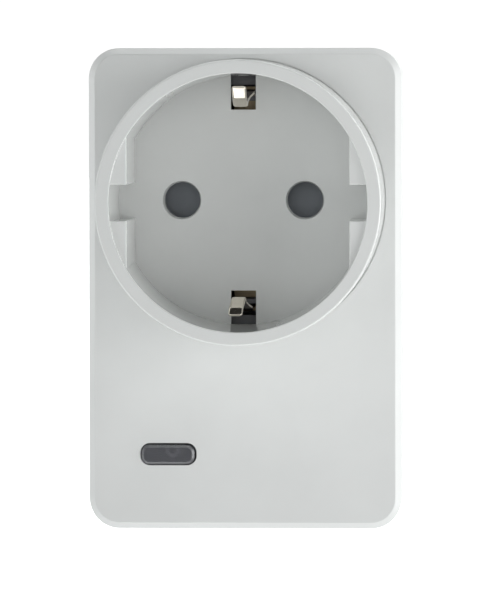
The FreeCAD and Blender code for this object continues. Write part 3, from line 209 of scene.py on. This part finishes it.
def painted_guide_light(m):
    """Painted light where the light guide's lower half ring shows through the cap's front."""
    where = m.place()
    from_centre = m.add("ShaderNodeVectorMath", operation="DISTANCE")
    from_centre.inputs[1].default_value = GUIDE_CENTRE
    m.link(where, "Vector", from_centre, "Vector")
    reach = m.add("ShaderNodeMapRange", From_Min=GHOST_NEAR, From_Max=GHOST_FAR)
    m.link(from_centre, "Value", reach, "Value")
    ring = m.colours(reach, [(0.15, OFF), (0.35, PARTLY), (0.6, PARTLY), (0.8, OFF)], "Result")
    axes = m.add("ShaderNodeSeparateXYZ")
    m.link(where, "Vector", axes, "Vector")
    below = m.add("ShaderNodeMapRange", From_Min=GUIDE_CENTRE[2] + GHOST_FADE, From_Max=GUIDE_CENTRE[2])
    m.link(axes, "Z", below, "Value")
    half_ring = m.add("ShaderNodeMath", operation="MULTIPLY")
    m.link(ring, "Color", half_ring, 0)
    m.link(below, "Result", half_ring, 1)
    return half_ring


def painted_bevel_highlight(m):
    """Painted highlight on the cap's bevel, set by which way the surface faces; dark on its front and its
    sides.
    """
    facing = m.add("ShaderNodeSeparateXYZ")
    m.link(m.add("ShaderNodeTexCoord"), "Normal", facing, "Vector")
    slope = m.add("ShaderNodeMapRange", From_Min=-1.0, From_Max=0.0)
    m.link(facing, "Y", slope, "Value")
    return m.colours(slope, [(0.12, OFF), (0.22, ON), (0.36, ON), (0.6, OFF)], "Result")


def smoked_lens():
    """Smoked clear plastic with a painted highlight on its bevel; painted light from the light guide's half
    ring shows faintly on its front.
    """
    m = Nodes("smoked_lens")
    smoke = m.colours(m.noise(scale=500, detail=3), [(0.3, SMOKE_DARK), (0.7, SMOKE_LIGHT)])
    # painted light of the guide's half ring on the cap's front
    front = m.over(smoke, painted_guide_light(m), "Value", PAINTED_GUIDE_TINT)
    # painted highlight on the bevel, laid over the painted guide light
    tint = m.over(front, painted_bevel_highlight(m), "Color", PAINTED_BEVEL_HIGHLIGHT)
    m.surface(tint, m.spread(m.noise(scale=900, detail=2), 0.16, 0.22))
    m.set(IOR=1.65, Transmission_Weight=0.65)
    return m.material


def board_mask():
    """Solder mask over copper: a darker and lighter green where tracks run under it."""
    m = Nodes("board_mask")
    tracks = m.add("ShaderNodeTexBrick", Scale=1.0, Mortar_Size=0.4 * MM,
                   Brick_Width=4.2 * MM, Row_Height=2.1 * MM)
    m.link(m.place(), "Vector", tracks, "Vector")
    tint = m.colours(tracks, [(0.0, (0.015, 0.11, 0.045)), (1.0, (0.03, 0.19, 0.08))])
    m.surface(tint, m.spread(m.noise(scale=600, detail=2), 0.25, 0.4))
    m.set(IOR=1.5)
    return m.material


def wound_wire():
    """Enamelled wire laid turn on turn, with painted shade in the grooves between turns."""
    m = Nodes("winding")
    enamel = (0.55, 0.22, 0.08)
    turns = m.add("ShaderNodeTexWave", Scale=1900.0, Distortion=0.4, bands_direction="Y")
    m.link(m.place(), "Vector", turns, "Vector")
    # painted shade: the grooves between turns are darkened to about a third of the enamel
    tint = m.colours(turns, [(0.0, shade(enamel, 0.35)), (0.6, enamel)])
    m.surface(tint, relief=m.bump(turns, strength=0.8, distance=0.1 * MM))
    m.set(Metallic=0.6, Roughness=0.3)
    return m.material


# ---------------------------------------------------------------- a material for each slot
HOUSING_WHITE = (0.80, 0.808, 0.80)
PLASTICS = {
    # slot: colour, roughness, strength of the grain
    "housing_white": (HOUSING_WHITE, 0.36, 0.18),
    "rear_white": (HOUSING_WHITE, 0.38, 0.2),
    "plug_white": (HOUSING_WHITE, 0.34, 0.14),
    "carrier_grey": ((0.12, 0.12, 0.13), 0.5, 0.3),
    "shutter_grey": ((0.21, 0.225, 0.25), 0.45, 0.25),
    "guide_clear": ((0.42, 0.43, 0.45), 0.4, 0.1),
    "led_white": ((0.85, 0.80, 0.55), 0.3, 0.05),
    "switch_black": ((0.03, 0.03, 0.035), 0.45, 0.2),
    "switch_plunger": ((0.42, 0.38, 0.30), 0.45, 0.2),
    "chip_black": ((0.025, 0.025, 0.028), 0.55, 0.35),
    "resistor_body": ((0.03, 0.03, 0.035), 0.35, 0.1),
    "ceramic_tan": ((0.42, 0.30, 0.18), 0.4, 0.1),
    "relay_black": ((0.03, 0.03, 0.033), 0.4, 0.2),
    "relay_base": ((0.09, 0.09, 0.09), 0.5, 0.2),
    "capacitor_sleeve": ((0.02, 0.03, 0.09), 0.25, 0.05),
    "film_yellow": ((0.55, 0.42, 0.06), 0.4, 0.15),
    "varistor_blue": ((0.03, 0.09, 0.30), 0.4, 0.3),
    "fuse_brown": ((0.10, 0.05, 0.03), 0.4, 0.1),
    "ferrite": ((0.05, 0.05, 0.05), 0.6, 0.5),
    "sheet_film": ((0.60, 0.58, 0.50), 0.5, 0.05),
    "plate_grey": ((0.50, 0.51, 0.52), 0.45, 0.1),
}
ROLLED = (1, 0.1, 1)                        # scratches run front to back, as the strip was rolled
METALS = {
    "nickel": dict(colour=(0.87, 0.81, 0.71), roughness=0.08, scratches=0.04, stretch=ROLLED),
    "brass": dict(colour=(0.46, 0.37, 0.25), roughness=0.3, tarnish=0.25, stretch=ROLLED),
    "spring_steel": dict(colour=(0.6, 0.6, 0.61), roughness=0.25),
    "screw_steel": dict(colour=(0.56, 0.56, 0.58), roughness=0.3, tarnish=0.15),
    "shield_tin": dict(colour=(0.68, 0.68, 0.66), roughness=0.32, tarnish=0.1),
    "copper": dict(colour=(0.72, 0.40, 0.22), roughness=0.3),
    "pin_gold": dict(colour=(0.80, 0.60, 0.28), roughness=0.22),
    "iron": dict(colour=(0.50, 0.50, 0.51), roughness=0.35, tarnish=0.12),
    "shunt_alloy": dict(colour=(0.52, 0.43, 0.34), roughness=0.35, tarnish=0.2),
}


def make_materials():
    made = {slot: moulded(slot, *look) for slot, look in PLASTICS.items()}
    made.update({slot: metal(slot, **look) for slot, look in METALS.items()})
    made["insert_white"] = polished_insert()
    made["button_smoke"] = smoked_lens()
    made["board_green"] = board_mask()
    made["winding"] = wound_wire()
    return made


material_of_slot = make_materials()
slot_of_node = {part["node"]: part["material_slot"] for part in frame["record"]["subparts"]}

for node, slot in slot_of_node.items():
    nodes[node].data.materials.clear()
    nodes[node].data.materials.append(material_of_slot[slot])


# ---------------------------------------------------------------- earth clips
# Each clip is a strip bent in the plane of the axis and its own radius, worked out in millimetres.
WELL_DEPTH = 17.5
WELL_FLOOR_Y = rim_y / MM + WELL_DEPTH
CLIP_PIVOT_Y = -38.2
CLIP_FOOT_R = 15.6
CLIP_ROOT_R = 16.6
CLIP_ROOT = -0.6            # heights above the well's floor: where the strip starts to lean inward,
CLIP_APEX = 8.2             # the contact bend, nearest the axis,
CLIP_WAIST = 5.5            # and where the blade widens on its right, then on both sides, down to its base
CLIP_NECK = 3.2
CLIP_BASE = 1.2
CLIP_HALF = 1.11            # half widths of the blade, the neck and the base
CLIP_NECK_HALF = 1.35
CLIP_BASE_HALF = 1.78
CLIP_THICK = 0.45
CLIP_BEND = 0.45
CLIP_EDGE = 0.36            # the sheared edges are rolled over within this width
CLIP_CROWN = 0.04           # and the strip is bowed by this across its width
CLIP_STEP = 0.06            # spacing of the mesh along the strip
THINNEST = 0.01             # half thickness left at the rounded tip
CLIPS = {
    # bend and tip are (height above the floor, radius); tip_left moves the tip, stands_left the whole strip
    "earth_clip_top": dict(up=1, apex_r=14.45, bend=(10.4, 15.75), tip=(11.75, 17.5),
                           tip_left=0.11, tip_round=0.45, stands_left=0.0),
    "earth_clip_bottom": dict(up=-1, apex_r=14.6, bend=(10.8, 16.15), tip=(11.6, 17.3),
                              tip_left=0.42, tip_round=0.6, stands_left=0.3),
}


def body_of(node):
    bodies = frame["record"]["behaviour"]["bodies"]
    return next(body for body, members in bodies.items() if node in members)


def above_floor(height):
    """Place along Y, at a height above the well's floor towards the viewer."""
    return WELL_FLOOR_Y - height


def add_piece(name, work, like):
    """Turns a bmesh into a smooth piece that stands for a CAD node, with its body, slot and finish."""
    mesh = bpy.data.meshes.new(name)
    bmesh.ops.recalc_face_normals(work, faces=work.faces)
    for face in work.faces:
        face.smooth = True
    work.to_mesh(mesh)
    work.free()
    piece = bpy.data.objects.new(name, mesh)
    scene.collection.objects.link(piece)
    mesh.materials.append(material_of_slot[slot_of_node[like]])
    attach(piece, body_of(like))
    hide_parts(like)


def evenly(start, end):
    """Points CLIP_STEP apart from start, up to but not at the end."""
    steps = max(1, math.ceil((end - start).length / CLIP_STEP))
    return [start.lerp(end, i / steps) for i in range(steps)]


def bent_line(points, bend):
    """Close points along straight runs joined by arcs of radius bend."""
    line = []
    start = Vector(points[0])
    for before, corner, after in zip(points, points[1:], points[2:]):
        corner = Vector(corner)
        back = (Vector(before) - corner).normalized()
        ahead = (Vector(after) - corner).normalized()
        half = back.angle(ahead) / 2
        centre = corner + (back + ahead).normalized() * (bend / math.sin(half))
        first, last = (corner + way * (bend / math.tan(half)) - centre for way in (back, ahead))
        line += evenly(start, centre + first)
        turn = math.atan2(first.x * last.y - first.y * last.x, first.dot(last))
        steps = max(4, math.ceil(abs(turn) * bend / CLIP_STEP))
        line += [centre + Matrix.Rotation(turn * i / steps, 2) @ first for i in range(steps)]
        start = centre + last
    return line + evenly(start, Vector(points[-1])) + [Vector(points[-1])]


def along(outline, y):
    """Half width at y of a piecewise straight outline given as (y, half width)."""
    for (y0, a), (y1, b) in zip(outline, outline[1:]):
        if y0 <= y <= y1:
            return a + (b - a) * (y - y0) / (y1 - y0)
    return outline[0][1] if y < outline[0][0] else outline[-1][1]


def rounded_off(distance, radius):
    """How far a rounded corner has drawn in, at a distance from the end."""
    return radius - math.sqrt(max(0.0, radius ** 2 - max(0.0, radius - distance) ** 2))


def strip_section(left, right, half_thick):
    """The strip's outline across its length as (x, depth): front, rolled edge, back, rolled edge."""
    middle = (left + right) / 2
    flat_half = (right - left) / 2 - CLIP_EDGE
    across, around = 12, 10
    section = []
    for side in (-1, 1):
        section += [(middle + side * flat_half * (1 - 2 * i / across), side * half_thick)
                    for i in range(across)]
        for k in range(around):
            angle = math.pi * k / around
            section.append((middle - side * (flat_half + CLIP_EDGE * math.sin(angle)),
                            side * half_thick * math.cos(angle)))
    bow = CLIP_CROWN / (flat_half + CLIP_EDGE) ** 2
    return [(x, CLIP_THICK / 2 + depth + bow * (x - middle) ** 2) for x, depth in section]


def earth_clip(node, up, apex_r, bend, tip, tip_left, tip_round, stands_left):
    """A spring finger with rolled edges: foot, upright, contact bend and flared lead-in."""
    root_y, apex_y, tip_y = (above_floor(height) for height in (CLIP_ROOT, CLIP_APEX, tip[0]))
    waist_y, neck_y, base_y = (above_floor(height) for height in (CLIP_WAIST, CLIP_NECK, CLIP_BASE))
    line = bent_line([
        (CLIP_PIVOT_Y, CLIP_FOOT_R), (CLIP_PIVOT_Y, CLIP_ROOT_R), (root_y, CLIP_ROOT_R),
        (apex_y, apex_r), (above_floor(bend[0]), bend[1]), (tip_y, tip[1]),
    ], CLIP_BEND)
    right_side = [(tip_y, CLIP_HALF - tip_left), (apex_y, CLIP_HALF), (waist_y, CLIP_HALF),
                  (neck_y, CLIP_NECK_HALF), (base_y, CLIP_BASE_HALF)]
    left_side = [(tip_y, CLIP_HALF + tip_left), (apex_y, CLIP_HALF), (neck_y, CLIP_HALF),
                 (base_y, CLIP_NECK_HALF)]
    to_tip = [sum((b - a).length for a, b in zip(line[i:], line[i + 1:])) for i in range(len(line))]
    work = bmesh.new()
    rings = []
    for i, point in enumerate(line):
        ahead = line[min(i + 1, len(line) - 1)] - line[max(i - 1, 0)]
        outward = Vector((ahead.y, -ahead.x)).normalized()
        narrow = rounded_off(to_tip[i], tip_round)
        half_thick = max(THINNEST, CLIP_THICK / 2 - rounded_off(to_tip[i], CLIP_THICK / 2))
        left = -along(left_side, point.x) + narrow - stands_left
        right = along(right_side, point.x) - narrow - stands_left
        places = [(x, point + outward * depth) for x, depth in strip_section(left, right, half_thick)]
        rings.append([work.verts.new((x * MM, place.x * MM, up * place.y * MM)) for x, place in places])
    for before, after in zip(rings, rings[1:]):
        for k in range(len(before)):
            work.faces.new((before[k - 1], before[k], after[k], after[k - 1]))
    for end in (rings[0], rings[-1]):
        work.faces.new(end)
    add_piece(node + "_finished", work, node)


for node, shape in CLIPS.items():
    earth_clip(node, **shape)


# ---------------------------------------------------------------- floor and lights
FLOOR_HALF = 2.5
LIGHT_TARGET = (0, -0.05, -0.01)
LIGHT_SIDE = 0.16
NEAR_LIGHTS = {
    # name: place, watts
    "near_right": ((0.20, -0.20, -0.02), 0.12),
    "near_right_low": ((0.15, -0.20, -0.17), 0.09),
}
CARDS = [
    # name, degrees round to the right from straight in front, degrees up, reach in degrees, strength
    ("front", 0, 0, 35, 0.64),
    ("left_front", -45, 0, 35, 0.8),
    ("right", 85, 0, 35, 3.4),
    ("left", -85, 0, 35, 1.4),
    ("left_down", -70, -50, 35, 1.0),
    ("bottom", 0, -80, 35, 1.4),
    ("top_back", 0, 112, 34, 2.9),
    ("back", 180, 0, 80, 1.0),
]
EVEN_LIGHT = 0.03
FILL_TINT = (0.98, 1, 1, 1)
BACKDROP_STRENGTH = 1.05


def floor():
    """A pale table top that the object stands on, bright enough to wash its shadow out."""
    z = cad_box[0].z
    corners = [(x * FLOOR_HALF, y * FLOOR_HALF, z) for x, y in ((-1, -1), (1, -1), (1, 1), (-1, 1))]
    mesh = bpy.data.meshes.new("floor")
    mesh.from_pydata(corners, [], [(0, 1, 2, 3)])
    plane = bpy.data.objects.new("floor", mesh)
    scene.collection.objects.link(plane)
    m = Nodes("floor_pale")
    m.surface(m.colours(m.noise(scale=3, detail=2), [(0.3, (0.93, 0.93, 0.93)), (0.7, (0.95, 0.95, 0.95))]))
    m.set(Roughness=0.9, Emission_Color=(1, 1, 1, 1), Emission_Strength=1.0)
    mesh.materials.append(m.material)
    plane.visible_diffuse = False
    plane.visible_glossy = False
    plane.visible_shadow = False
    plane.visible_transmission = False


def soft_light(name, place, watts):
    """A square soft box that faces the object and isn't seen itself."""
    light = bpy.data.lights.new(name, "AREA")
    light.shape = "RECTANGLE"
    light.size = light.size_y = LIGHT_SIDE
    light.energy = watts
    lamp = bpy.data.objects.new(name, light)
    scene.collection.objects.link(lamp)
    lamp.location = place
    lamp.rotation_euler = (Vector(LIGHT_TARGET) - Vector(place)).to_track_quat("-Z", "Y").to_euler()
    lamp.visible_camera = False


def surroundings():
    """A white room for the camera, whose light on the object comes from soft cards far away."""
    world = bpy.data.worlds.new("studio")
    scene.world = world
    world.use_nodes = True
    tree = world.node_tree

    def plus(a, b):
        node = tree.nodes.new("ShaderNodeMath")
        node.operation = "ADD"
        node.inputs[0].default_value = EVEN_LIGHT
        if a is not None:
            tree.links.new(a, node.inputs[0])
        tree.links.new(b, node.inputs[1])
        return node.outputs[0]

    def background(tint):
        node = tree.nodes.new("ShaderNodeBackground")
        node.inputs["Color"].default_value = tint
        return node

    direction = tree.nodes.new("ShaderNodeTexCoord").outputs["Generated"]
    total = None
    for name, right, up, reach, strength in CARDS:
        right, up, reach = (math.radians(a) for a in (right, up, reach))
        towards = (math.sin(right) * math.cos(up), -math.cos(right) * math.cos(up), math.sin(up))
        nearness = tree.nodes.new("ShaderNodeVectorMath")
        nearness.operation = "DOT_PRODUCT"
        tree.links.new(direction, nearness.inputs[0])
        nearness.inputs[1].default_value = towards
        card = tree.nodes.new("ShaderNodeMapRange")
        card.name = name
        card.interpolation_type = "SMOOTHSTEP"
        tree.links.new(nearness.outputs["Value"], card.inputs["Value"])
        card.inputs["From Min"].default_value = math.cos(reach)
        card.inputs["From Max"].default_value = math.cos(reach / 2)
        card.inputs["To Max"].default_value = strength
        total = plus(total, card.outputs["Result"])
    seen = background((1, 1, 1, 1))
    seen.inputs["Strength"].default_value = BACKDROP_STRENGTH
    fill = background(FILL_TINT)
    tree.links.new(total, fill.inputs["Strength"])
    path = tree.nodes.new("ShaderNodeLightPath")
    mix = tree.nodes.new("ShaderNodeMixShader")
    tree.links.new(path.outputs["Is Camera Ray"], mix.inputs["Fac"])
    tree.links.new(fill.outputs["Background"], mix.inputs[1])
    tree.links.new(seen.outputs["Background"], mix.inputs[2])
    tree.links.new(mix.outputs["Shader"], tree.nodes["World Output"].inputs["Surface"])


# ---------------------------------------------------------------- camera
CAMERA_LENS = 406.3
CAMERA_BACK = 1.0256                        # distance from the rim
CAMERA_RIGHT, CAMERA_UP = 0.0537, 0.0258
CAMERA_YAW, CAMERA_PITCH, CAMERA_ROLL = 2.948, -2.260, -0.073


def camera():
    """Far in front, a little right of the socket's axis and a little above it."""
    data = bpy.data.cameras.new("camera")
    data.lens = CAMERA_LENS
    data.clip_start, data.clip_end = 0.05, 50
    eye = bpy.data.objects.new("camera", data)
    scene.collection.objects.link(eye)
    eye.location = (CAMERA_RIGHT, rim_y - CAMERA_BACK, CAMERA_UP)
    yaw, pitch, roll = (math.radians(a) for a in (CAMERA_YAW, CAMERA_PITCH, CAMERA_ROLL))
    level = Matrix.Rotation(math.pi / 2 + pitch, 4, "X")
    eye.rotation_euler = (Matrix.Rotation(yaw, 4, "Z") @ level @ Matrix.Rotation(roll, 4, "Z")).to_euler()
    scene.camera = eye


floor()
surroundings()
for name, (place, watts) in NEAR_LIGHTS.items():
    soft_light(name, place, watts)
camera()

scene.view_settings.view_transform = "Standard"
scene.view_settings.look = "None"
scene.view_settings.exposure = 0.0
